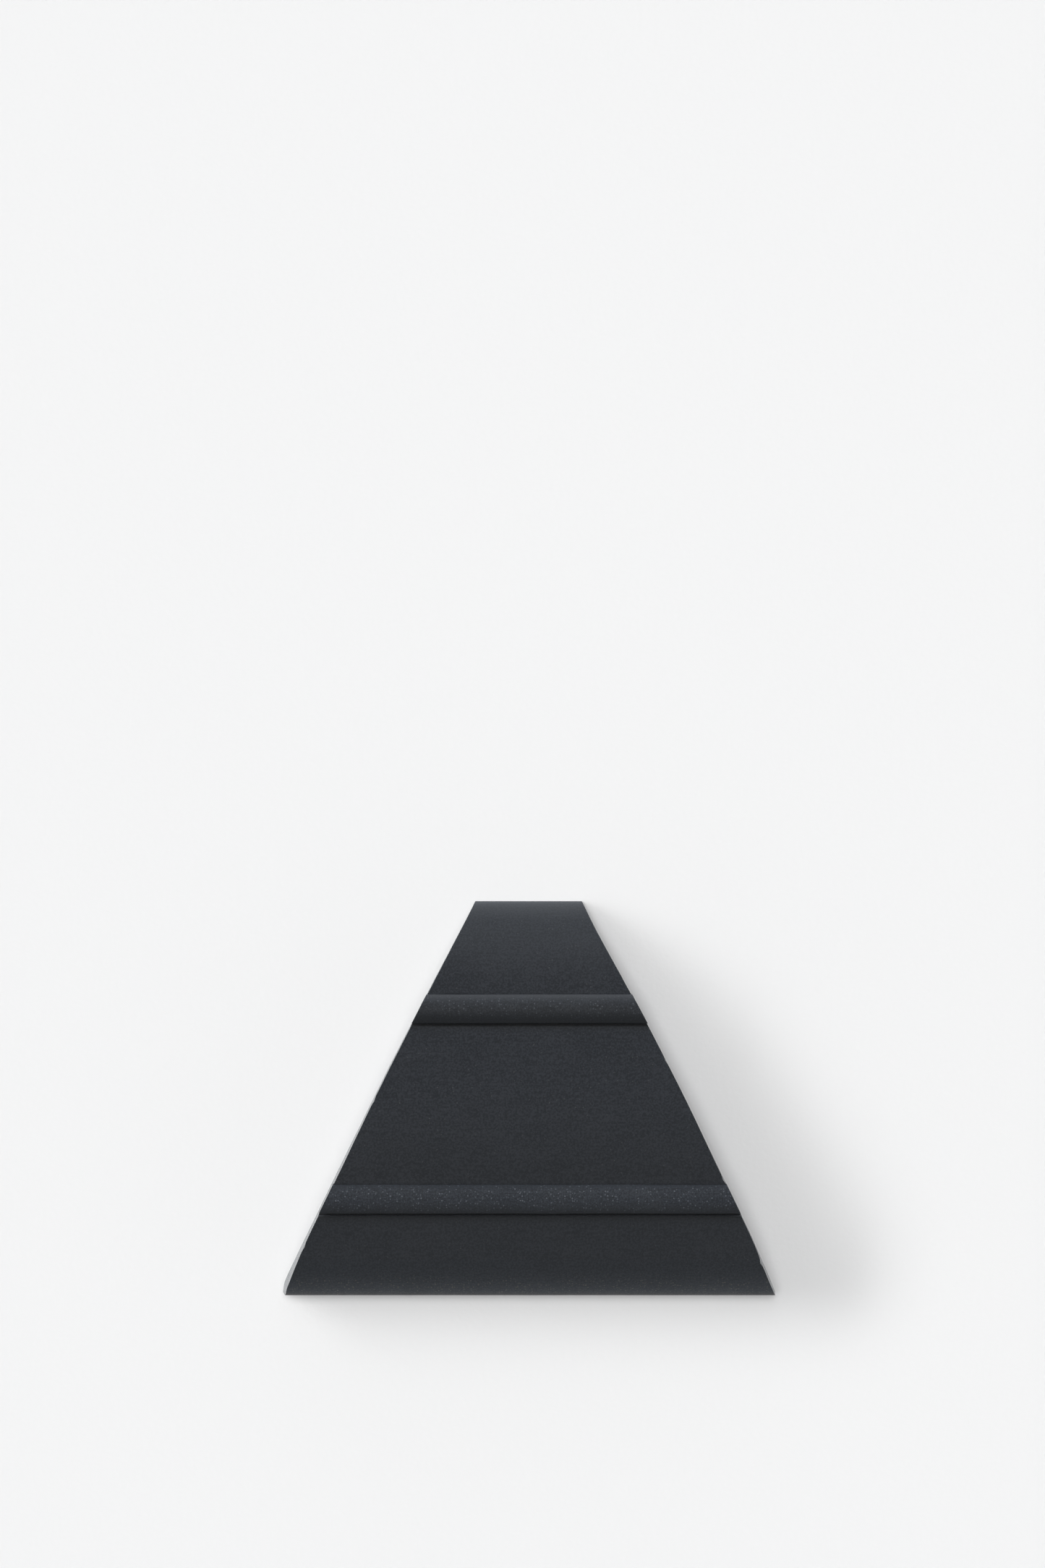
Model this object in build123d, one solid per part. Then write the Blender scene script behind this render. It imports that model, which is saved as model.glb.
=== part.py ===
from build123d import *

# Rubber ramp leveler: a solid loaf-shaped block, low at both ends, with two
# half-round rubber beads pressed into grooves that cross the running surface.
#
# Frame: millimetres, +Z up, origin on the floor under the middle of the block.
# Y is the rolling direction: the narrow end is at +Y, the wide end at -Y.

import os

# Block, driving dimensions
LENGTH = 270.0
NARROW_WIDTH = 73.0
WIDE_WIDTH = 340.0

# Side view of the block, from the narrow toe over the crown to the wide toe
NARROW_TOE_HEIGHT = 7.0
NARROW_SHOULDER_RUN = 26.0
NARROW_SHOULDER_HEIGHT = 38.0
CROWN_HEIGHT = 54.0
CROWN_SHIFT = 45.0  # the crown sits this far from the middle, towards the wide end
WIDE_END_HEIGHT = 46.0
NARROW_TOE_RADIUS = 14.0
NARROW_SHOULDER_RADIUS = 84.0
CROWN_RADIUS = 300.0
WIDE_END_RADIUS = 34.0

# Knife-cut sides, at places along the block: (y, left bow, right bow, left lean, right lean).
# A bow is how far a side stands out from the straight line between its corners, and a lean is how
# far it comes in over CUT_HEIGHT.
SIDES = [
    (135.0, 0.6, 0.0, 0.0, 0.0),
    (108.0, 1.5, 0.6, 0.3, 0.0),
    (58.0, 3.1, 3.2, 0.8, 0.0),
    (8.0, 3.9, 4.3, 1.0, 0.2),
    (-42.0, 3.9, 3.7, 2.0, 0.6),
    (-92.0, 3.4, 3.2, 2.4, 1.1),
    (-114.0, 3.2, 2.1, 4.5, 2.5),
    (-128.0, 2.5, 1.0, 7.3, 3.3),
    (-135.0, 0.0, 0.0, 9.0, 3.6),
]
CUT_HEIGHT = 70.0

# Cross beads and their grooves
NARROW_BEAD_Y = 63.2
WIDE_BEAD_Y = -65.2
BEAD_WIDTH = 19.6
BEAD_RISE = 4.3
BEAD_SEAT = 6.0
GROOVE_GAP = 2.0  # open slot left on the wide-end side of each bead
NARROW_BEAD_OVERHANG = 0.4
WIDE_BEAD_OVERHANG = 0.3

LEFT_COLUMNS = (1, 3)  # bow and lean of the left side in SIDES
RIGHT_COLUMNS = (2, 4)
HALF_LENGTH = LENGTH / 2
SPAN = WIDE_WIDTH + 40.0  # longer than any cross cut needs


def profile_corners():
    """Corners of the side view, as (y, z), before they are rounded."""
    return [
        (HALF_LENGTH, 0),
        (HALF_LENGTH, NARROW_TOE_HEIGHT),
        (HALF_LENGTH - NARROW_SHOULDER_RUN, NARROW_SHOULDER_HEIGHT),
        (-CROWN_SHIFT, CROWN_HEIGHT),
        (-HALF_LENGTH, WIDE_END_HEIGHT),
        (-HALF_LENGTH, 0),
    ]


def loaf():
    """The block's side view carried across the full width."""
    corners = profile_corners()
    radii = [NARROW_TOE_RADIUS, NARROW_SHOULDER_RADIUS, CROWN_RADIUS, WIDE_END_RADIUS]
    outline = Polyline(*corners, close=True)
    face = make_face(outline)
    for corner, radius in zip(corners[1:-1], radii):
        vertex = face.vertices().sort_by_distance((corner[0], corner[1], 0))[0]
        face = fillet(vertex, radius)
    standing = Plane(origin=(0, 0, 0), x_dir=(0, 1, 0), z_dir=(1, 0, 0)) * face
    return extrude(standing, SPAN / 2, both=True)


def half_width(y):
    """Half width of the straight-sided plan at a place along the block."""
    share = (HALF_LENGTH - y) / LENGTH
    return (NARROW_WIDTH + (WIDE_WIDTH - NARROW_WIDTH) * share) / 2


def side(height, overhang, columns):
    """Points of one cut side as (distance from the middle line, y), narrow end first."""
    bow, lean = columns
    rise = height / CUT_HEIGHT
    return [(half_width(row[0]) + row[bow] + overhang - rise * row[lean], row[0]) for row in SIDES]


def plan(height, overhang):
    """Plan outline between the two cut sides, at a height above the floor."""
    left = [(-x, y) for x, y in side(height, overhang, LEFT_COLUMNS)]
    right = side(height, overhang, RIGHT_COLUMNS)
    edges = [
        Spline(*right),
        Line(right[-1], left[-1]),
        Spline(*left),
        Line(left[0], right[0]),
    ]
    return Pos(0, 0, height) * make_face(edges)


def cut_sides(overhang=0.0):
    """The solid between the two knife cuts."""
    return loft([plan(0, overhang), plan(CUT_HEIGHT, overhang)], ruled=True)


def surface_frame(y, body):
    """Frame on the running surface: X across, Y along the surface, Z outwards."""
    step = 1.0
    heights = [surface_height(place, body) for place in (y - step, y + step)]
    middle = surface_height(y, body)
    along = Vector(0, 2 * step, heights[1] - heights[0])
    across = Vector(1, 0, 0)
    return Plane(origin=(0, y, middle), x_dir=across, z_dir=across.cross(along))


def surface_height(y, body):
    """Height of the running surface over the middle line."""
    plumb = Edge.make_line((0, y, -1), (0, y, CUT_HEIGHT))
    inside = body.intersect(plumb)
    return max(piece.bounding_box().max.Z for piece in inside)


def bead(frame):
    """Half-round strip with a flat foot, lying across the surface."""
    half = BEAD_WIDTH / 2
    outline = [
        Line((-half, -BEAD_SEAT), (half, -BEAD_SEAT)),
        Line((half, -BEAD_SEAT), (half, 0)),
        ThreePointArc((half, 0), (0, BEAD_RISE), (-half, 0)),
        Line((-half, 0), (-half, -BEAD_SEAT)),
    ]
    section = Plane(origin=(0, 0, 0), x_dir=(0, 1, 0), z_dir=(1, 0, 0)) * make_face(outline)
    return frame * extrude(section, SPAN / 2, both=True)


def groove(frame):
    """Channel for a bead, wider than the bead by the open slot."""
    width = BEAD_WIDTH + GROOVE_GAP
    depth = BEAD_SEAT + BEAD_RISE
    channel = Box(SPAN, width, depth, align=(Align.CENTER, Align.CENTER, Align.MIN))
    return frame * Pos(0, -GROOVE_GAP / 2, -BEAD_SEAT) * channel


def build():
    """Every node of the ramp leveler, by name."""
    body = loaf() & cut_sides()
    narrow_frame = surface_frame(NARROW_BEAD_Y, body)
    wide_frame = surface_frame(WIDE_BEAD_Y, body)
    block = body - groove(narrow_frame) - groove(wide_frame)
    return {
        "ramp_block": block,
        "narrow_end_bead": bead(narrow_frame) & cut_sides(NARROW_BEAD_OVERHANG),
        "wide_end_bead": bead(wide_frame) & cut_sides(WIDE_BEAD_OVERHANG),
    }


os.makedirs("parts", exist_ok=True)
for name, solid in build().items():
    export_step(solid, f"parts/{name}.step")
    box = solid.bounding_box()
    print(name, "volume", round(solid.volume), "size", box.size, "solids", len(solid.solids()))
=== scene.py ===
# %% [markdown]
# # A rubber ramp leveler
# A ramp leveler is a heavy block of black rubber that a caravan wheel climbs, so that the van
# stands level. This one is a single loaf of rubber, low at both ends, cut with a knife along both
# long sides, with two half-round rubber beads pressed into grooves across the top for grip.
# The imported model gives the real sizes, so it is loaded first and everything is built round it.

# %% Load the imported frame
import math

import bmesh
import bpy
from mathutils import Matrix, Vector, noise


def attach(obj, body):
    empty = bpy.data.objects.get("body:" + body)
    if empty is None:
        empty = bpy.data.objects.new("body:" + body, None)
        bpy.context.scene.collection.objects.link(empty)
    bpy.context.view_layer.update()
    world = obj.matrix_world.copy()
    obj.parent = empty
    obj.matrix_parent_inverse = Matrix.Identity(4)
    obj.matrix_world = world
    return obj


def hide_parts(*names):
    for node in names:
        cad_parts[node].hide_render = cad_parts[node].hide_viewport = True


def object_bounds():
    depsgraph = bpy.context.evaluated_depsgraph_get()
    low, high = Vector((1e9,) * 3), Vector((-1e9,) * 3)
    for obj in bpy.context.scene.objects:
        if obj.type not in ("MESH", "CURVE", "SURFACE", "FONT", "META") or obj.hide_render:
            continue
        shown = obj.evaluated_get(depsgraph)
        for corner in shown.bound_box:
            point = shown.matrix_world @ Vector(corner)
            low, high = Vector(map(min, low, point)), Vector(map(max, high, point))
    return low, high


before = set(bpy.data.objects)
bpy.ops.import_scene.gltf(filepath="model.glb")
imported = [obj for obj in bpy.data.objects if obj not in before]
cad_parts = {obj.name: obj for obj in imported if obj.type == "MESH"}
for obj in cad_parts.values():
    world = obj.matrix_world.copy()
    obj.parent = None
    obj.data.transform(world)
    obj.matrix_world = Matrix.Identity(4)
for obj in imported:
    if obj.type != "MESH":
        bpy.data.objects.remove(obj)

cad_low, cad_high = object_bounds()
MM = 0.001
print("CAD box", [round(v, 4) for v in (*cad_low, *cad_high)])

# %% [markdown]
# ## Camera
# The block is looked at from straight above, a long way up, through a portrait lens, so its upright
# faces almost vanish. A camera with no rotation looks down its own -Z with +Y at the top of the
# picture, which is just this view. It stands past the narrow end of the block, so the block lies
# low in the frame.

# %% Camera straight above
CAMERA_HEIGHT = 2.55
FRAME_LONG_SIDE = 1.084  # metres of floor along the tall side of the picture
CAMERA_PAST_NARROW_END = 0.081
CAMERA_LEFT_OF_MIDDLE = 0.0045

camera_data = bpy.data.cameras.new("camera")
camera_data.sensor_width = 36.0
camera_data.lens = camera_data.sensor_width * CAMERA_HEIGHT / FRAME_LONG_SIDE
camera = bpy.data.objects.new("camera", camera_data)
camera.location = (-CAMERA_LEFT_OF_MIDDLE, cad_high.y + CAMERA_PAST_NARROW_END, CAMERA_HEIGHT)
bpy.context.collection.objects.link(camera)
bpy.context.scene.camera = camera
print("lens", round(camera_data.lens, 1), "mm")

# %% [markdown]
# ## Light
# A low soft window on the left throws the long faint shadow, and a broad lamp almost overhead does
# most of the lighting. Suns are used rather than area lights, because a sun lights the whole floor
# evenly. A wide window is a fan of soft suns side by side. The room itself is dim above and pale near
# the floor, as a white studio is, and black rubber shows that as a sheen on its steep faces.

# %% Suns
FLOOR_LIGHT = 3.18  # light that reaches the open floor, in watts a square metre
WINDOW_SHARE = 0.3
WINDOW_ELEVATION = math.radians(26)
WINDOW_MIDDLE = math.radians(159)  # compass angle from +X
WINDOW_HALF_WIDTH = math.radians(34)
WINDOW_SUNS = 7
WINDOW_FADE = 2  # how quickly the window dims from its middle to its sides
WINDOW_SOFTNESS = math.radians(15)
OVERHEAD_SHARE = 0.59
OVERHEAD_ELEVATION = math.radians(82)
OVERHEAD_SOFTNESS = math.radians(30)
BACK_SHARE = 0.06
BACK_ELEVATION = math.radians(60)
BACK_SOFTNESS = math.radians(50)
LAMP_COMPASS = math.radians(106)


def sun(name, compass, elevation, share, softness):
    """A soft sun that stands in the given direction and gives the floor its share of light."""
    data = bpy.data.lights.new(name, "SUN")
    data.energy = FLOOR_LIGHT * share / math.sin(elevation)
    data.angle = softness
    lamp = bpy.data.objects.new(name, data)
    level = math.cos(elevation)
    towards = Vector((level * math.cos(compass), level * math.sin(compass), math.sin(elevation)))
    lamp.rotation_mode = "QUATERNION"
    lamp.rotation_quaternion = towards.to_track_quat("Z", "Y")
    bpy.context.collection.objects.link(lamp)


places = [2 * i / (WINDOW_SUNS - 1) - 1 for i in range(WINDOW_SUNS)]
weights = [math.exp(-WINDOW_FADE * place * place) for place in places]
for i, (place, weight) in enumerate(zip(places, weights)):
    share = WINDOW_SHARE * weight / sum(weights)
    compass = WINDOW_MIDDLE + place * WINDOW_HALF_WIDTH
    sun(f"window_{i}", compass, WINDOW_ELEVATION, share, WINDOW_SOFTNESS)
sun("overhead", LAMP_COMPASS, OVERHEAD_ELEVATION, OVERHEAD_SHARE, OVERHEAD_SOFTNESS)
sun("back", LAMP_COMPASS, BACK_ELEVATION, BACK_SHARE, BACK_SOFTNESS)

# %% Room
ROOM_LOW = 0.9
ROOM_HIGH = 0.03
ROOM_LOW_TOP = 0.55  # how far up the pale part reaches, as the sine of its elevation
ROOM_TINT = (0.93, 0.96, 1.0, 1.0)


def paint_room():
    """A world that is pale near the floor and dim overhead."""
    world = bpy.data.worlds.new("studio")
    world.use_nodes = True
    tree = world.node_tree
    direction = tree.nodes.new("ShaderNodeTexCoord")
    height = tree.nodes.new("ShaderNodeSeparateXYZ")
    fade = tree.nodes.new("ShaderNodeMapRange")
    fade.interpolation_type = "SMOOTHSTEP"
    fade.inputs["From Max"].default_value = ROOM_LOW_TOP
    fade.inputs["To Min"].default_value = ROOM_LOW
    fade.inputs["To Max"].default_value = ROOM_HIGH
    tree.links.new(direction.outputs["Generated"], height.inputs["Vector"])
    tree.links.new(height.outputs["Z"], fade.inputs["Value"])
    room = tree.nodes["Background"]
    room.inputs["Color"].default_value = ROOM_TINT
    tree.links.new(fade.outputs["Result"], room.inputs["Strength"])
    return world


bpy.context.scene.world = paint_room()
bpy.context.scene.view_settings.view_transform = "Standard"
print("room", ROOM_LOW, "low,", ROOM_HIGH, "high")

# %% [markdown]
# ## Floor
# The floor is matt white card. A trace of paper grain, a fine bump in the material, keeps the soft
# shadow from looking computed.

# %% Floor
FLOOR_REACH = 6.0
FLOOR_COLOUR = (0.86, 0.86, 0.86, 1)
FLOOR_ROUGHNESS = 0.9
FLOOR_GLOSS = 0.1
PAPER_GRAINS = 260.0  # to the metre
PAPER_DEPTH = 0.6 * MM


def paint_floor():
    """Matt white card with a faint grain."""
    material = bpy.data.materials.new("floor_card")
    material.use_nodes = True
    tree = material.node_tree
    surface = tree.nodes["Principled BSDF"]
    surface.inputs["Base Color"].default_value = FLOOR_COLOUR
    surface.inputs["Roughness"].default_value = FLOOR_ROUGHNESS
    surface.inputs["Specular IOR Level"].default_value = FLOOR_GLOSS
    place = tree.nodes.new("ShaderNodeTexCoord")
    paper = tree.nodes.new("ShaderNodeTexNoise")
    paper.inputs["Scale"].default_value = PAPER_GRAINS
    paper.inputs["Detail"].default_value = 2.0
    bump = tree.nodes.new("ShaderNodeBump")
    bump.inputs["Strength"].default_value = 0.25
    bump.inputs["Distance"].default_value = PAPER_DEPTH
    tree.links.new(place.outputs["Object"], paper.inputs["Vector"])
    tree.links.new(paper.outputs["Fac"], bump.inputs["Height"])
    tree.links.new(bump.outputs["Normal"], surface.inputs["Normal"])
    return material


floor_mesh = bpy.data.meshes.new("floor")
bm = bmesh.new()
bmesh.ops.create_grid(bm, x_segments=1, y_segments=1, size=FLOOR_REACH)
bm.to_mesh(floor_mesh)
bm.free()
floor = bpy.data.objects.new("floor", floor_mesh)
floor_mesh.materials.append(paint_floor())
bpy.context.collection.objects.link(floor)
print("floor reaches", FLOOR_REACH, "m")

# %% [markdown]
# ## Side view of the block
# Seen from the side, the block is a low loaf: a short steep nose at the narrow end, a long gentle
# rise to the crown, and a taller rounded back. A few straight lines with an arc at each corner give
# that outline. The Bevel tool could round the corners, but its arcs are only round at right angles,
# so each arc is spun from its first point about its own centre instead.

# %% Outline corners and the arc helper
HALF_LENGTH = 135  # mm
CORNERS = [  # (y, z) in mm
    (HALF_LENGTH, 0),
    (HALF_LENGTH, 7),
    (HALF_LENGTH - 26, 38),
    (-45, 54),
    (-HALF_LENGTH, 46),
    (-HALF_LENGTH, 0),
]
ROUNDINGS = [14, 84, 300, 34]  # mm, for the four upper corners
ARC_STEP = 2.5 * MM


def arc(bm, before, corner, after, radius):
    """Spin an arc that rounds a corner; return its first and last vertices."""
    back = (before - corner).normalized()
    on = (after - corner).normalized()
    turn = math.pi - back.angle(on)
    centre = corner + (back + on).normalized() * radius / math.cos(turn / 2)
    first = bm.verts.new(corner + back * radius * math.tan(turn / 2))
    steps = max(4, round(radius * turn / ARC_STEP))
    spun = bmesh.ops.spin(
        bm, geom=[first], cent=centre, axis=on.cross(back), angle=turn, steps=steps
    )
    return first, spun["geom_last"][0]


# %% Draw the outline
def draw_outline():
    """The rounded side view as one flat face in the YZ plane."""
    bm = bmesh.new()
    points = [Vector((0, y * MM, z * MM)) for y, z in CORNERS]
    front_foot = bm.verts.new(points[0])
    last = front_foot
    for i, radius in enumerate(ROUNDINGS, start=1):
        first, end = arc(bm, points[i - 1], points[i], points[i + 1], radius * MM)
        bm.edges.new((last, first))
        last = end
    back_foot = bm.verts.new(points[-1])
    bm.edges.new((last, back_foot))
    bm.edges.new((back_foot, front_foot))
    bmesh.ops.contextual_create(bm, geom=bm.edges[:])
    return bm


outline = draw_outline()
crown = max(v.co.z for v in outline.verts)
print("outline points", len(outline.verts), "crown mm", round(crown / MM, 2))

# %% [markdown]
# ## Where the beads lie
# Each bead lies in a groove, square to the running surface. The surface tips a little at both
# places, so each bead has its own frame: a point on the surface, one direction along it and one
# straight out of it. Both are found from the outline itself, so they can't disagree with it.

# %% Frames on the running surface
BEAD_PLACES = {"narrow_end_bead": 63.2, "wide_end_bead": -65.2}  # mm along the block
BEAD_WIDTH = 19.6 * MM
BEAD_SEAT = 6.0 * MM


def surface_height(y):
    """Height of the running surface at a place, from the outline's upper edges."""
    heights = []
    for edge in outline.edges:
        low, high = sorted((v.co for v in edge.verts), key=lambda co: co.y)
        if low.y <= y <= high.y and low.y < high.y:
            share = (y - low.y) / (high.y - low.y)
            heights.append(low.z + share * (high.z - low.z))
    return max(heights)


def surface_frame(y):
    """Point on the surface, direction along it towards +Y, and direction out of it."""
    step = 1 * MM
    rise = surface_height(y + step) - surface_height(y - step)
    along = Vector((0, 2 * step, rise)).normalized()
    return Vector((0, y, surface_height(y))), along, Vector((0, -along.z, along.y))


bead_frames = {name: surface_frame(y * MM) for name, y in BEAD_PLACES.items()}
for name, (place, along, out) in bead_frames.items():
    print(name, "height", round(place.z / MM, 1), "tips", round(math.degrees(math.asin(along.z)), 1))

# %% [markdown]
# ## Cut the grooves
# A groove is cut while the block is still a flat outline, because then it takes three knife lines
# and one deleted face: both walls across the outline, and the groove's floor across the strip
# between them only. The groove is a little wider than the bead on the wide-end side, where the real
# block shows a dark open slot.

# %% Grooves
SLOT_WIDTH = 2.0 * MM
CREASE = 0.1 * MM


def knife(bm, faces, point, normal):
    """Cut some faces along a plane."""
    around = {part for face in faces for part in (face, *face.edges, *face.verts)}
    bmesh.ops.bisect_plane(bm, geom=list(around), dist=1e-7, plane_co=point, plane_no=normal)


def beyond(faces, point, direction):
    """The faces whose middles lie past a point in a direction."""
    return [face for face in faces if (face.calc_center_median() - point).dot(direction) > 0]


def cut_groove(bm, place, along, out):
    """Open a groove in the flat outline."""
    uphill = place + along * (BEAD_WIDTH / 2 + CREASE)
    downhill = place - along * (BEAD_WIDTH / 2 + SLOT_WIDTH)
    knife(bm, bm.faces[:], uphill, along)
    knife(bm, bm.faces[:], downhill, along)
    floor_point = place - out * BEAD_SEAT
    strip = beyond(beyond(bm.faces, uphill, -along), downhill, along)
    knife(bm, strip, floor_point, out)
    strip = beyond(beyond(bm.faces, uphill, -along), downhill, along)
    bmesh.ops.delete(bm, geom=beyond(strip, floor_point, out), context="FACES")


block = outline.copy()
for place, along, out in bead_frames.values():
    cut_groove(block, place, along, out)
print("faces in the grooved outline", len(block.faces))

# %% [markdown]
# ## Give the block its width
# The grooved outline is extruded into a bar from x = -1 to 1, and cut into a grid of small faces, so
# that its sides can be shaped afterwards. The real rubber isn't ruler-straight, and a knife cut has
# drag marks, and both need points to move.

# %% Extrude to a bar
def extrude_bar(bm):
    """Extrude a flat section to a bar from x = -1 to x = 1."""
    bmesh.ops.translate(bm, verts=bm.verts, vec=(-1, 0, 0))
    bar = bmesh.ops.extrude_face_region(bm, geom=bm.faces[:], use_keep_orig=True)
    far = [part for part in bar["geom"] if isinstance(part, bmesh.types.BMVert)]
    bmesh.ops.translate(bm, verts=far, vec=(2, 0, 0))
    bmesh.ops.recalc_face_normals(bm, faces=bm.faces)


extrude_bar(block)
print("faces in the bar", len(block.faces))

# %% Cut the grid
ACROSS = 46
GRID_STEP = 2.2 * MM
FINE_STEP = 0.8 * MM
NICK_REACH = 1.6  # mm either side of a nick that get points of their own
NICKS = [  # where a crumb tore out of an upper edge: hand, y, depth and size in mm
    (-1, -63, 0.9, 1.8),
    (-1, 1, 0.7, 1.5),
    (-1, -98, 0.6, 1.6),
    (1, -109, 1.0, 1.9),
    (1, 28, 0.6, 1.5),
    (1, -52, 0.5, 1.4),
]


def cut_grid(bm, axis, places):
    """Cut the whole bar square to an axis, at each place."""
    for place in places:
        point, normal = Vector((0, 0, 0)), Vector((0, 0, 0))
        point[axis] = place
        normal[axis] = 1
        whole = bm.verts[:] + bm.edges[:] + bm.faces[:]
        bmesh.ops.bisect_plane(bm, geom=whole, dist=1e-6, plane_co=point, plane_no=normal)


def spaced(low, high, step):
    """Places between two ends, about a step apart, without the ends."""
    count = max(1, round((high - low) / step))
    return [low + (high - low) * i / count for i in range(1, count)]


def filled(places, step):
    """The given places, with more between them wherever the gap is wider than a step."""
    more = [spaced(low, high, step) for low, high in zip(places, places[1:])]
    return sorted(places + [place for gap in more for place in gap])


corners = {round(vert.co.y, 6) for vert in block.verts}
nicks = {(nick[1] + side) * MM for nick in NICKS for side in (-NICK_REACH, 0, NICK_REACH)}
clear = {nick for nick in nicks if min(abs(nick - corner) for corner in corners) > FINE_STEP}
stations = filled(sorted(corners | clear), GRID_STEP)
cut_grid(block, 1, stations[1:-1])
cut_grid(block, 0, spaced(-1, 1, 2 / ACROSS))
print("stations", len(stations), "faces", len(block.faces))

# %% Rows on the two cut faces
WALL_ROWS = 14
CAP = 0.999  # points with a greater share of the width than this are on a cut side
SHORT_EDGE = 5 * MM  # upright edges shorter than this stay whole


def add_wall_rows(bm):
    """Divide the upright edges of both end caps, so that rows run along under the top."""
    upright = []
    for edge in bm.edges:
        one, other = (vert.co for vert in edge.verts)
        on_cap = abs(one.x) > CAP and abs(other.x) > CAP
        if on_cap and abs(one.x - other.x) < 0.1 and abs(one.y - other.y) < 1e-6:
            if abs(one.z - other.z) > SHORT_EDGE:
                upright.append(edge)
    bmesh.ops.subdivide_edges(bm, edges=upright, cuts=WALL_ROWS - 1, use_grid_fill=True)


add_wall_rows(block)
print("faces with the wall rows", len(block.faces))

# %% [markdown]
# ## The knife-cut sides
# Both long sides were cut with a knife through a thick slab. Each bows out from a straight line by a
# few millimetres and leans in as it rises, the left one more than the right. The bar's x is a share
# of the way to the side, so multiplying it by the side's distance gives the block its plan.

# %% Distance of the cut sides from the middle line
NARROW_WIDTH = 73.0
WIDE_WIDTH = 340.0
CUT_HEIGHT = 70.0
SIDES = [  # y, left bow, right bow, left lean, right lean, all in mm
    (-135, 0, 0, 9.0, 3.6),
    (-128, 2.5, 1.0, 7.3, 3.3),
    (-114, 3.2, 2.1, 4.5, 2.5),
    (-92, 3.4, 3.2, 2.4, 1.1),
    (-42, 3.9, 3.7, 2.0, 0.6),
    (8, 3.9, 4.3, 1.0, 0.2),
    (58, 3.1, 3.2, 0.8, 0),
    (108, 1.5, 0.6, 0.3, 0),
    (135, 0.6, 0, 0, 0),
]
COLUMNS = {-1: (1, 3), 1: (2, 4)}  # the bow and the lean of each hand


def slope_at(i, column):
    """Slope of a column of the table at one of its rows."""
    before, after = SIDES[max(i - 1, 0)], SIDES[min(i + 1, len(SIDES) - 1)]
    return (after[column] - before[column]) / (after[0] - before[0])


def smooth_between(y, column):
    """A column of the table at any y, on a smooth curve through its rows."""
    y = min(max(y, SIDES[0][0]), SIDES[-1][0])
    i = next(i for i in range(len(SIDES) - 1) if y <= SIDES[i + 1][0])
    low, high = SIDES[i], SIDES[i + 1]
    gap = high[0] - low[0]
    t = (y - low[0]) / gap
    ends = low[column] * (1 + 2 * t) * (1 - t) ** 2 + high[column] * t * t * (3 - 2 * t)
    slopes = slope_at(i, column) * t * (1 - t) ** 2 - slope_at(i + 1, column) * t * t * (1 - t)
    return ends + slopes * gap


def side_reach(hand, y, z):
    """Distance of a cut side from the middle line, in mm. hand is -1 for left, 1 for right."""
    share = (HALF_LENGTH - y) / (2 * HALF_LENGTH)
    half = (NARROW_WIDTH + (WIDE_WIDTH - NARROW_WIDTH) * share) / 2
    bow, lean = (smooth_between(y, column) for column in COLUMNS[hand])
    return half + bow - lean * z / CUT_HEIGHT


print("side at the middle of the floor", round(side_reach(1, 0, 0), 1), "mm")

# %% [markdown]
# ## Marks of the knife
# A knife pulled through rubber drags and wanders. Its long strokes leave slanting streaks a few
# tenths of a millimetre deep and the edge waves slowly. Here and there a crumb of rubber tore out of
# the upper edge. These marks are real shape, because they break up the edge's outline; noise stretched
# along the strokes makes them, always inwards, so the block never grows past its true size.

# %% Relief of the cut faces
STREAK_DEPTH = 0.2
WANDER_DEPTH = 0.4


def streaks(hand, y, z):
    """Depth of the knife's drag marks, from 0 to 1, stretched along a slanting stroke."""
    stroke, cross = y * 0.96 + z * 0.26, z * 0.96 - y * 0.26
    coarse = noise.noise(Vector((stroke / 70, cross / 3.4, 10 * hand)))
    fine = noise.noise(Vector((stroke / 26, cross / 1.3, 20 * hand)))
    return min(max(0.5 + 0.5 * coarse + 0.3 * fine, 0), 1)


def wander(hand, y, z):
    """Slow waviness of the cut, from 0 to 1."""
    return 0.5 + 0.5 * noise.noise(Vector((y / 38, z / 60, 30 * hand)))


def nick_depth(hand, y, z):
    """Depth of the torn nicks in the upper edge, in mm."""
    depth = 0
    for nick_hand, nick_y, deep, size in NICKS:
        if nick_hand == hand:
            below = surface_height(nick_y * MM) / MM - z
            near = math.exp(-(((y - nick_y) / size) ** 2) - (below / (size * 1.3)) ** 2)
            depth += deep * near
    return depth


def cut_relief(hand, y, z):
    """How far the cut face lies inside its ideal place, in mm."""
    return (
        STREAK_DEPTH * streaks(hand, y, z)
        + WANDER_DEPTH * wander(hand, y, z)
        + nick_depth(hand, y, z)
    )


# %% [markdown]
# ## The moulded top
# The running surface came from a mould and is smooth, but not flat to the eye: it swells slightly
# along the uphill side of each bead, where the pressed-in strip pushes the rubber up, and it waves by
# a tenth of a millimetre elsewhere.

# %% Relief of the running surface
LIP_RISE = 0.35
LIP_PLACE = 1.9  # mm uphill of the groove
LIP_SPREAD = 1.3
WAVE_HEIGHT = 0.14
SINK_BEHIND = {"narrow_end_bead": 0.15, "wide_end_bead": 0.3}
SINK_LENGTH = 4.5


def top_relief(x, y):
    """How far the running surface stands above its ideal shape, in mm."""
    rise = WAVE_HEIGHT * noise.noise(Vector((x / 45, y / 22, 3)))
    for name, place in BEAD_PLACES.items():
        uphill = y - (place + BEAD_WIDTH / MM / 2)
        downhill = (place - (BEAD_WIDTH / 2 + SLOT_WIDTH) / MM) - y
        rise += LIP_RISE * math.exp(-(((uphill - LIP_PLACE) / LIP_SPREAD) ** 2))
        if downhill > -0.3:
            rise -= SINK_BEHIND[name] * math.exp(-max(downhill, 0) / SINK_LENGTH)
    return rise - WAVE_HEIGHT * 0.5


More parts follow.
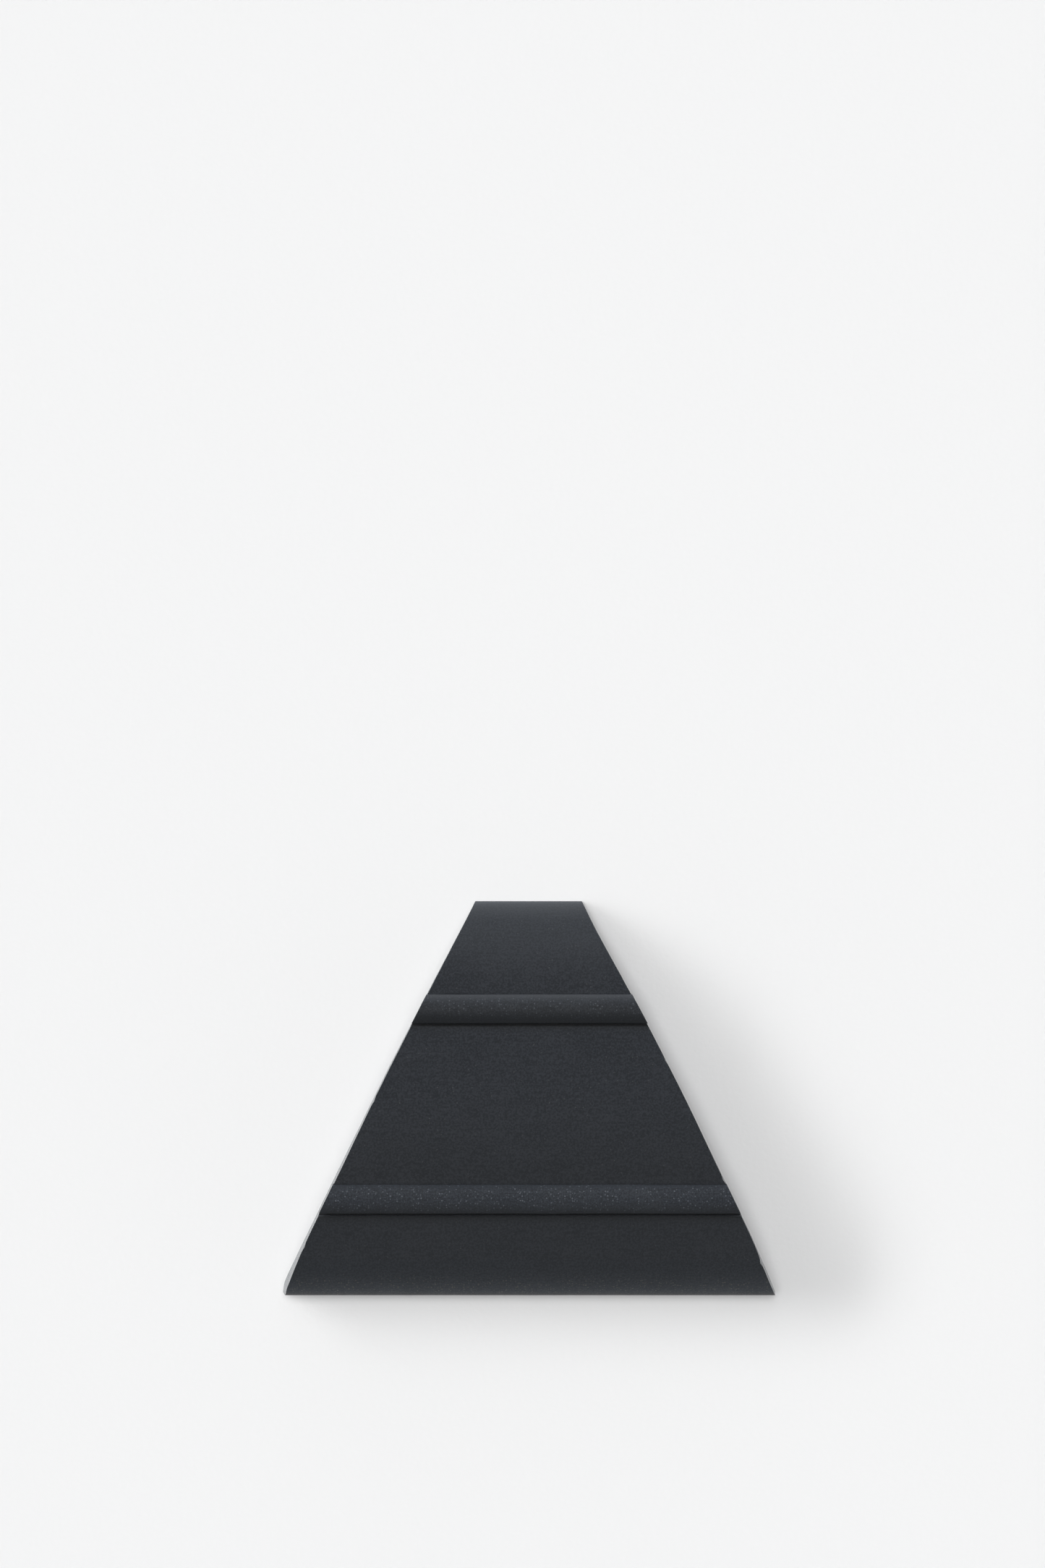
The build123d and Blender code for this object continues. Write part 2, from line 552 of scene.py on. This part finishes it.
# %% [markdown]
# ## Painted shade and highlights
# Shade is painted dark into the slots and trails off behind them, the wide half is painted darker,
# and a highlight is painted pale on the toe. A pattern in the material could not tell a slot from
# the open top, so both are worked out point by point and stored as two mesh layers the rubber reads.

# %% Painted shade in the slots, and a darker wide half
# How far the painted shade trails behind each slot.
SHADE_REACH = {"narrow_end_bead": 1.6, "wide_end_bead": 7.0}  # mm behind each slot
SKIN_DEPTH = 1  # mm below the running surface where the surface's own darkening ends
SLOT_DEPTHS = (0.4, 8)  # mm below the surface that count as inside a slot
WIDE_HALF_DARKENING = 0.45  # how much darker the wide half is painted
WIDE_HALF_FROM = 10  # mm along the block, and the length over which it comes on
WIDE_HALF_LENGTH = 60


def shade_and_darkening(y, depth):
    """How much painted shade darkens a place, from 0 to 1: full in the slots, fading behind them, and a
    darker wide half.
    """
    on_skin = depth < SKIN_DEPTH
    wide_half = min(1, max(0, (WIDE_HALF_FROM - y) / WIDE_HALF_LENGTH))
    darkening = WIDE_HALF_DARKENING * wide_half if on_skin else 0.0
    for name, place in BEAD_PLACES.items():
        behind = place - (BEAD_WIDTH / 2 + SLOT_WIDTH) / MM - y
        before = y - place - BEAD_WIDTH / MM / 2
        if behind < 0.3 and before < 0.3 and SLOT_DEPTHS[0] < depth < SLOT_DEPTHS[1]:
            darkening = 1.0
        elif behind > -0.4 and on_skin:
            darkening = max(darkening, math.exp(-max(behind, 0) / SHADE_REACH[name]))
    return darkening


# %% Painted highlight on the toe
TOE_HIGHLIGHT = (112, 136)  # mm along the block; a highlight is painted pale here, strongest at the front
FAINT_HIGHLIGHT = (82, 108)
FAINT_SHARE = 0.2


def ramp_up(y, span):
    """0 before a span of the block, 1 after it."""
    return min(1, max(0, (y - span[0]) / (span[1] - span[0])))


def toe_highlight(y):
    """How pale the painted highlight on the toe is, from 0 to 1, growing quickly towards its front."""
    return max(ramp_up(y, TOE_HIGHLIGHT) ** 2, FAINT_SHARE * ramp_up(y, FAINT_HIGHLIGHT))


print("scuff at the front of the toe", round(toe_highlight(135), 2))


# %% Shape the bar into the block
CALM_END = 12  # mm by the four corners where the knife marks fade out
TOP_ENDS = 128  # mm from the middle, past which the top has no relief
SURFACE_SKIN = 0.02  # mm
JUST_INSIDE = 0.01 * MM


def shape_block(bm):
    """Take the bar to its true plan, with the relief of its cut sides and its top."""
    darkening = bm.verts.layers.float.new("shade_and_darkening")
    painted_highlight = bm.verts.layers.float.new("painted_highlight")
    for vert in bm.verts:
        share, y, z = vert.co.x, vert.co.y / MM, vert.co.z / MM
        hand = 1 if share > 0 else -1
        reach = side_reach(hand, y, z)
        if abs(share) > CAP:
            corner_calm = min(1, (HALF_LENGTH - abs(y)) / CALM_END)
            reach -= cut_relief(hand, y, z) * corner_calm
        vert.co.x = share * reach * MM
        inside = min(max(vert.co.y, cad_low.y + JUST_INSIDE), cad_high.y - JUST_INSIDE)
        depth = surface_height(inside) / MM - z
        # Painted shade in and behind the slots, with the darker wide half, and the painted highlight on the
        # toe.
        vert[darkening] = shade_and_darkening(y, depth)
        vert[painted_highlight] = toe_highlight(y)
        if depth < SURFACE_SKIN and abs(y) < TOP_ENDS:
            vert.co.z += top_relief(share * reach, y) * MM


shape_block(block)
bmesh.ops.remove_doubles(block, verts=block.verts, dist=2e-6)
print("block faces", len(block.faces))

# %% [markdown]
# ## Finish a piece
# Every piece is finished the same way: its mesh becomes an object at the origin, smooth shaded, with
# a Bevel modifier that takes the sharpness off its corners as years of use do. Weighted normals keep
# the large faces flat-looking beside the small rounded edges. Then the piece takes its CAD solid's
# place in the frame.

# %% Piece helper
SHARP_ANGLE = math.radians(38)  # edges that turn more than this are worn round


def finish_piece(bm, name, node, edge_width, material):
    """Turn a bmesh into a finished piece that stands for a CAD node."""
    bmesh.ops.recalc_face_normals(bm, faces=bm.faces)
    for face in bm.faces:
        face.smooth = True
    mesh = bpy.data.meshes.new(name)
    bm.to_mesh(mesh)
    bm.free()
    mesh.materials.append(material)
    piece = bpy.data.objects.new(name, mesh)
    bpy.context.collection.objects.link(piece)
    rounding = piece.modifiers.new("worn_edges", "BEVEL")
    rounding.width = edge_width
    rounding.segments = 2
    rounding.limit_method = "ANGLE"
    rounding.angle_limit = SHARP_ANGLE
    normals = piece.modifiers.new("flat_faces", "WEIGHTED_NORMAL")
    normals.keep_sharp = True
    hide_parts(node)
    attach(piece, "root")
    print(name, "faces", len(mesh.polygons))
    return piece


# %% [markdown]
# ## Shader groups
# Both kinds of rubber share three effects, so each is a node group: a fine grain, pale specks, and
# dust that settles. The groups put out only masks and heights, and each rubber decides what to do
# with them. Object coordinates keep the patterns still on the piece, in metres.

# %% Node helpers
def new_group(name, inputs, outputs):
    """A shader node group with float inputs and outputs."""
    group = bpy.data.node_groups.new(name, "ShaderNodeTree")
    for label, value in inputs.items():
        socket = group.interface.new_socket(label, in_out="INPUT", socket_type="NodeSocketFloat")
        socket.default_value = value
    for label in outputs:
        group.interface.new_socket(label, in_out="OUTPUT", socket_type="NodeSocketFloat")
    return group, group.nodes.new("NodeGroupInput"), group.nodes.new("NodeGroupOutput")


def add(tree, kind, **settings):
    """A new node with its settings."""
    node = tree.nodes.new("ShaderNode" + kind)
    for label, value in settings.items():
        setattr(node, label, value)
    return node


def plug(tree, socket, value):
    """Link a socket to an output, or give it a plain value."""
    if isinstance(value, bpy.types.NodeSocket):
        tree.links.new(value, socket)
    else:
        socket.default_value = value


def maths(tree, operation, first, second=0.0, clamp=False):
    """A Math node with its inputs set; returns its output."""
    node = add(tree, "Math", operation=operation, use_clamp=clamp)
    plug(tree, node.inputs[0], first)
    plug(tree, node.inputs[1], second)
    return node.outputs[0]


def step_between(tree, value, low, high, new_low=0.0, new_high=1.0):
    """A smooth step: below low it is new_low, above high it is new_high."""
    node = add(tree, "MapRange", interpolation_type="SMOOTHSTEP")
    for label, given in (("Value", value), ("From Min", low), ("From Max", high)):
        plug(tree, node.inputs[label], given)
    plug(tree, node.inputs["To Min"], new_low)
    plug(tree, node.inputs["To Max"], new_high)
    return node.outputs["Result"]


def noise_value(tree, place, scale, detail=2.0, roughness=0.5):
    """A Noise texture's value."""
    node = add(tree, "TexNoise")
    plug(tree, node.inputs["Vector"], place)
    plug(tree, node.inputs["Scale"], scale)
    node.inputs["Detail"].default_value = detail
    node.inputs["Roughness"].default_value = roughness
    return node.outputs["Fac"]


def place_in_object(tree):
    """The Object coordinates, in metres."""
    return add(tree, "TexCoord").outputs["Object"]


print("node helpers ready")


# %% Rubber grain group
LINE_STRETCH = (0.07, 1.0, 1.0)  # the faint lines run across the block
GRIT_FINER = 3.1  # grit is this much finer than the pebbles, and the clouds this much coarser
CLOUD_FINER = 0.05
LINE_FINER = 0.8


def build_grain():
    """Skin of moulded rubber: pebbles a millimetre across, finer grit, and faint lines across."""
    group, given, result = new_group("rubber_grain", {"Size": 0.0012}, ["Height", "Tone"])
    place = place_in_object(group)
    per_metre = maths(group, "DIVIDE", 1.0, given.outputs["Size"])
    pebbles = noise_value(group, place, per_metre, detail=2.0, roughness=0.6)
    grit = noise_value(group, place, maths(group, "MULTIPLY", per_metre, GRIT_FINER), detail=1.0)
    cloud = noise_value(group, place, maths(group, "MULTIPLY", per_metre, CLOUD_FINER), detail=3.0)
    stretch = add(group, "Mapping")
    group.links.new(place, stretch.inputs["Vector"])
    stretch.inputs["Scale"].default_value = LINE_STRETCH
    lines = noise_value(group, stretch.outputs["Vector"], maths(group, "MULTIPLY", per_metre, LINE_FINER))
    height = maths(group, "ADD", pebbles, maths(group, "MULTIPLY", grit, 0.35))
    height = maths(group, "ADD", height, maths(group, "MULTIPLY", lines, 0.15))
    group.links.new(height, result.inputs["Height"])
    slow = maths(group, "ADD", maths(group, "MULTIPLY", cloud, 0.1), maths(group, "MULTIPLY", lines, 0.14))
    tone = maths(group, "ADD", maths(group, "MULTIPLY", pebbles, 0.76), slow)
    group.links.new(step_between(group, tone, 0.38, 0.62), result.inputs["Tone"])
    return group


grain = build_grain()


# %% Pale specks group
def build_specks():
    """Pale crumbs in the rubber: the middles of scattered cells, only some of them filled."""
    group, given, result = new_group("pale_specks", {"Spacing": 0.004, "Size": 0.18, "Share": 0.4}, ["Mask"])
    cells = add(group, "TexVoronoi", feature="F1")
    group.links.new(place_in_object(group), cells.inputs["Vector"])
    plug(group, cells.inputs["Scale"], maths(group, "DIVIDE", 1.0, given.outputs["Spacing"]))
    near = maths(group, "LESS_THAN", cells.outputs["Distance"], given.outputs["Size"])
    chosen = add(group, "SeparateColor")
    group.links.new(cells.outputs["Color"], chosen.inputs["Color"])
    filled = maths(group, "LESS_THAN", chosen.outputs["Red"], given.outputs["Share"])
    strength = maths(group, "MULTIPLY", filled, chosen.outputs["Green"])
    group.links.new(maths(group, "MULTIPLY", near, strength), result.inputs["Mask"])
    return group


specks = build_specks()


# %% Dust group
SCUFF_STRETCH = (1.0, 0.06, 1.0)
SCUFF_LINES = 900.0  # to the metre


def build_dust():
    """Pale dust in soft patches, with fine scuff lines along the rolling direction."""
    group, given, result = new_group("settled_dust", {"Patch Size": 0.03}, ["Mask"])
    place = place_in_object(group)
    patches = noise_value(group, place, maths(group, "DIVIDE", 1.0, given.outputs["Patch Size"]), detail=3.0)
    stretch = add(group, "Mapping")
    group.links.new(place, stretch.inputs["Vector"])
    stretch.inputs["Scale"].default_value = SCUFF_STRETCH
    scuffs = noise_value(group, stretch.outputs["Vector"], SCUFF_LINES, detail=1.0)
    lines = step_between(group, scuffs, 0.6, 0.78)
    mask = maths(group, "MULTIPLY", step_between(group, patches, 0.42, 0.7), maths(group, "ADD", lines, 0.35))
    group.links.new(maths(group, "MINIMUM", mask, 1.0), result.inputs["Mask"])
    return group


dust = build_dust()
print("groups", [group.name for group in bpy.data.node_groups])

# %% [markdown]
# ## Rubber
# Carbon-filled rubber is nearly black and slightly blue. Its moulded skin is dull, but at a glancing
# angle it mirrors whatever is pale around it, which the Principled shader does by itself. The knife
# cuts are smoother and shinier, with slanting streaks, and the face's own sideways normal tells them
# from the top. They are laid over the painted shade and highlights, because the knife came last. The
# bead strip is the same stuff from another batch: a little bluer, shinier and fuller of specks.

# %% Rubber material
def mix_colours(tree, share, first, second):
    """A mix of two colours, by a mask."""
    node = add(tree, "Mix", data_type="RGBA")
    plug(tree, node.inputs["Factor"], share)
    plug(tree, node.inputs["A"], first)
    plug(tree, node.inputs["B"], second)
    return node.outputs["Result"]


def group_node(tree, group, **values):
    """A group placed in a material with its own values."""
    node = add(tree, "Group", node_tree=group)
    for label, value in values.items():
        node.inputs[label.replace("_", " ")].default_value = value
    return node.outputs


def cut_face_mask(tree):
    """1 on faces that look sideways, which only the knife cuts do."""
    sideways = add(tree, "SeparateXYZ")
    tree.links.new(add(tree, "TexCoord").outputs["Normal"], sideways.inputs["Vector"])
    return step_between(tree, maths(tree, "ABSOLUTE", sideways.outputs["X"]), 0.55, 0.8)


STREAK_SLANT = math.radians(15)
STREAK_STRETCH = (0.3, 0.022, 1.0)
STREAK_LINES = 1100.0  # to the metre


def knife_streaks(tree):
    """Fine slanting streaks, as a height."""
    slant = add(tree, "Mapping", vector_type="POINT")
    tree.links.new(place_in_object(tree), slant.inputs["Vector"])
    slant.inputs["Rotation"].default_value = (STREAK_SLANT, 0, 0)
    slant.inputs["Scale"].default_value = STREAK_STRETCH
    return noise_value(tree, slant.outputs["Vector"], STREAK_LINES, detail=3.0)


def cut_finish(tree, flecks):
    """Colour and height of the knife-cut faces."""
    streak = knife_streaks(tree)
    tone = step_between(tree, streak, 0.35, 0.65)
    colour = mix_colours(tree, tone, CUT_DEEP, CUT_PALE)
    crumbs = maths(tree, "MULTIPLY", flecks, 0.6)
    return mix_colours(tree, crumbs, colour, CRUMB_COLOUR), streak


def towards_wide_end(tree, start, end):
    """0 up to one place along the block, 1 past the next, in mm."""
    along = add(tree, "SeparateXYZ")
    tree.links.new(place_in_object(tree), along.inputs["Vector"])
    return step_between(tree, along.outputs["Y"], start * MM, end * MM)


def painted(tree, layer):
    """A value painted on the mesh's points, such as painted shade or a painted highlight."""
    return add(tree, "Attribute", attribute_name=layer).outputs["Fac"]


def float_mix(tree, share, first, second):
    """A mix of two values, by a mask."""
    node = add(tree, "Mix", data_type="FLOAT")
    plug(tree, node.inputs["Factor"], share)
    plug(tree, node.inputs["A"], first)
    plug(tree, node.inputs["B"], second)
    return node.outputs["Result"]


def skin_colour(tree, skin, flecks, look):
    """Colour of the moulded skin: two blacks, a film of dust, pale warm specks and a painted warm reflection
    at the wide end, and specks.
    """
    colour = mix_colours(tree, skin["Tone"], look["deep"], look["worn"])
    film = group_node(tree, dust, Patch_Size=DUST_PATCH)["Mask"]
    colour = mix_colours(tree, maths(tree, "MULTIPLY", film, look["dust"]), colour, DUST_COLOUR)
    # Pale warm specks, more of them towards the wide end.
    end_specks = group_node(tree, specks, **END_SPECKS)["Mask"]
    end_specks = maths(tree, "MULTIPLY", end_specks, towards_wide_end(tree, *END_SPECK_SPAN))
    colour = mix_colours(tree, end_specks, colour, END_SPECK_COLOUR)
    # A painted warm reflection along the wide end's edge.
    warm_reflection = maths(tree, "MULTIPLY", towards_wide_end(tree, *WARM_REFLECTION_SPAN), WARM_REFLECTION_SHARE)
    colour = mix_colours(tree, warm_reflection, colour, WARM_REFLECTION_COLOUR)
    return mix_colours(tree, flecks, colour, look["speck"])


def rubber(name, look):
    """A black rubber, with its grain, specks, dust and knife-cut faces."""
    material = bpy.data.materials.new(name)
    material.use_nodes = True
    tree = material.node_tree
    surface = tree.nodes["Principled BSDF"]
    surface.inputs["Specular IOR Level"].default_value = look["gloss"]
    surface.inputs["Sheen Weight"].default_value = look["bloom"]
    surface.inputs["Sheen Roughness"].default_value = BLOOM_ROUGHNESS
    surface.inputs["Sheen Tint"].default_value = BLOOM_TINT
    skin = group_node(tree, grain, Size=look["grain"])
    flecks = group_node(tree, specks, **look["flecks"])["Mask"]
    cut = cut_face_mask(tree)
    cut_colour, streak = cut_finish(tree, flecks)
    colour = skin_colour(tree, skin, flecks, look)
    # Painted highlights on the toe and the beads' uphill flanks.
    colour = mix_colours(tree, painted(tree, "painted_highlight"), colour, HIGHLIGHT_COLOUR)
    # Painted shade in and behind the slots and on the beads' downhill flanks, with the darker wide half.
    colour = mix_colours(tree, painted(tree, "shade_and_darkening"), colour, SHADE_AND_DARKENING_COLOUR)
    plug(tree, surface.inputs["Base Color"], mix_colours(tree, cut, colour, cut_colour))
    uneven = step_between(tree, skin["Tone"], 0.0, 1.0, look["rough"] + UNEVEN, look["rough"] - UNEVEN)
    cut_rough = step_between(tree, streak, 0.3, 0.7, CUT_ROUGHNESS + CUT_UNEVEN, CUT_ROUGHNESS)
    plug(tree, surface.inputs["Roughness"], float_mix(tree, cut, uneven, cut_rough))
    bump = add(tree, "Bump")
    bump.inputs["Strength"].default_value = BUMP_STRENGTH
    bump.inputs["Distance"].default_value = GRAIN_DEPTH
    plug(tree, bump.inputs["Height"], float_mix(tree, cut, skin["Height"], streak))
    plug(tree, surface.inputs["Normal"], bump.outputs["Normal"])
    return material


# %% The two rubbers
BLOOM_ROUGHNESS = 0.8  # bloom is the dusty veil that rubber gets, seen at glancing angles
BLOOM_TINT = (0.78, 0.88, 1.0, 1)
CUT_DEEP = (0.017, 0.0175, 0.0185, 1)
CUT_PALE = (0.031, 0.032, 0.0345, 1)
CUT_ROUGHNESS = 0.15
CUT_UNEVEN = 0.1
UNEVEN = 0.06  # how much the skin's roughness varies either way
CRUMB_COLOUR = (0.075, 0.075, 0.078, 1)
# Near-black of the painted shade, also used for the darker wide half.
SHADE_AND_DARKENING_COLOUR = (0.0012, 0.0012, 0.0011, 1)
DUST_COLOUR = (0.09, 0.09, 0.085, 1)
# Pale warm specks towards the wide end.
END_SPECK_COLOUR = (0.13, 0.115, 0.088, 1)
END_SPECKS = {"Spacing": 0.0016, "Size": 0.36, "Share": 0.5}
END_SPECK_SPAN = (-112, -135)  # mm along the block
# Painted warm reflection along the wide end's edge.
WARM_REFLECTION_COLOUR = (0.042, 0.025, 0.008, 1)
WARM_REFLECTION_SPAN = (-130, -134.8)
WARM_REFLECTION_SHARE = 0.7
DUST_PATCH = 0.05
# Pale colour of the painted highlights on the toe and the beads' uphill flanks.
HIGHLIGHT_COLOUR = (0.047, 0.05, 0.056, 1)
GRAIN_DEPTH = 0.00024  # metres
BUMP_STRENGTH = 0.6

BLOCK_LOOK = {
    "deep": (0.0036, 0.0045, 0.0066, 1),
    "worn": (0.0105, 0.0123, 0.0168, 1),
    "speck": (0.036, 0.036, 0.037, 1),
    "grain": 0.0013,
    "rough": 0.8,
    "gloss": 0.26,
    "bloom": 0.085,
    "dust": 0.025,
    "flecks": {"Spacing": 0.0026, "Size": 0.17, "Share": 0.3},
}
BEAD_LOOK = {
    "deep": (0.0036, 0.0052, 0.0086, 1),
    "worn": (0.0125, 0.0162, 0.0235, 1),
    "speck": (0.07, 0.079, 0.093, 1),
    "grain": 0.0011,
    "rough": 0.68,
    "gloss": 0.28,
    "bloom": 0.06,
    "dust": 0.08,
    "flecks": {"Spacing": 0.0016, "Size": 0.33, "Share": 0.45},
}
block_rubber = rubber("block_rubber", BLOCK_LOOK)
bead_rubber = rubber("bead_rubber", BEAD_LOOK)
print("materials", block_rubber.name, bead_rubber.name)

finish_piece(block, "block", "ramp_block", 0.45 * MM, block_rubber)

# %% [markdown]
# ## The beads
# Each bead is a half-round strip of rubber with a flat foot. Its round back is spun as one arc over
# the foot, the section is extruded like the block, and its ends follow the same knife cuts, standing
# out by a fraction of a millimetre, because springy rubber is pushed aside by the knife and comes
# back. The strip at the wide end is flatter than the other.

# %% Bead section
BEAD_RISE = 4.3 * MM
OVERHANGS = {"narrow_end_bead": 0.4, "wide_end_bead": 0.3}  # mm past the cut sides


def draw_bead(place, along, out):
    """The bead's section as a flat face: a foot in the groove and a round back."""
    bm = bmesh.new()
    half = BEAD_WIDTH / 2
    corners = [(half, 0), (half, -BEAD_SEAT), (-half, -BEAD_SEAT), (-half, 0)]
    first, *others = [bm.verts.new(place + along * u + out * v) for u, v in corners]
    for one, other in zip((first, *others), others):
        bm.edges.new((one, other))
    radius = (half**2 + BEAD_RISE**2) / (2 * BEAD_RISE)
    centre = place + out * (BEAD_RISE - radius)
    turn = 2 * math.asin(half / radius)
    bmesh.ops.spin(bm, geom=[first], cent=centre, axis=(1, 0, 0), angle=turn, steps=22)
    bmesh.ops.remove_doubles(bm, verts=bm.verts, dist=2e-6)
    bmesh.ops.contextual_create(bm, geom=bm.edges[:])
    return bm


# %% Shape the beads
BEAD_ACROSS = 90
SQUARENESS = {"narrow_end_bead": (0.75, 1.15), "wide_end_bead": (0.5, 0.2)}  # uphill, downhill
# Painted shade on each bead's downhill flank: its reach from the foot and how fast it fades.
FLANK_SHADE_REACH = {"narrow_end_bead": 1.9, "wide_end_bead": 1.3}  # from the foot, in half widths
FLANK_SHADE_POWER = {"narrow_end_bead": 1.0, "wide_end_bead": 1.7}
BEAD_HIGHLIGHT = {"narrow_end_bead": 1.0, "wide_end_bead": 0.15}  # painted highlight on the uphill flank, which faces the light
BEAD_WANDER = 0.16
BEAD_SWELL = 0.12


def shape_bead(bm, name):
    """Take a bead's bar to its true length between the knife cuts, a little uneven."""
    place, along, out = bead_frames[name]
    flank_shade = bm.verts.layers.float.new("shade_and_darkening")
    painted_highlight = bm.verts.layers.float.new("painted_highlight")
    for vert in bm.verts:
        share, y, z = vert.co.x, vert.co.y / MM, vert.co.z / MM
        hand = 1 if share > 0 else -1
        down = -(vert.co - place).dot(along) / (BEAD_WIDTH / 2)
        # Painted shade darkens the downhill flank towards the foot.
        vert[flank_shade] = min(1, max(0, 1 - (1 - down) / FLANK_SHADE_REACH[name])) ** FLANK_SHADE_POWER[name]
        # A painted highlight lightens the uphill flank.
        vert[painted_highlight] = BEAD_HIGHLIGHT[name] * min(1, max(0, -down)) ** 2
        reach = side_reach(hand, y, z) + OVERHANGS[name]
        if abs(share) > CAP:
            reach -= 0.5 * STREAK_DEPTH * streaks(hand, y, z)
        vert.co.x = share * reach * MM
        above = (vert.co - place).dot(out)
        if above > 0:
            uphill, downhill = SQUARENESS[name]
            power = uphill if (vert.co - place).dot(along) > 0 else downhill
            vert.co += out * (BEAD_RISE * (above / BEAD_RISE) ** power - above)
        if above > -0.5 * MM:
            x = share * reach
            vert.co += along * BEAD_WANDER * MM * noise.noise(Vector((x / 30, 5, place.y * 99)))
            sunk = 0.5 - 0.5 * noise.noise(Vector((x / 18, y / 9, 8)))
            vert.co -= out * BEAD_SWELL * MM * sunk


for name in BEAD_PLACES:
    bead = draw_bead(*bead_frames[name])
    extrude_bar(bead)
    cut_grid(bead, 0, spaced(-1, 1, 2 / BEAD_ACROSS))
    shape_bead(bead, name)
    finish_piece(bead, name + "_strip", name, 0.3 * MM, bead_rubber)
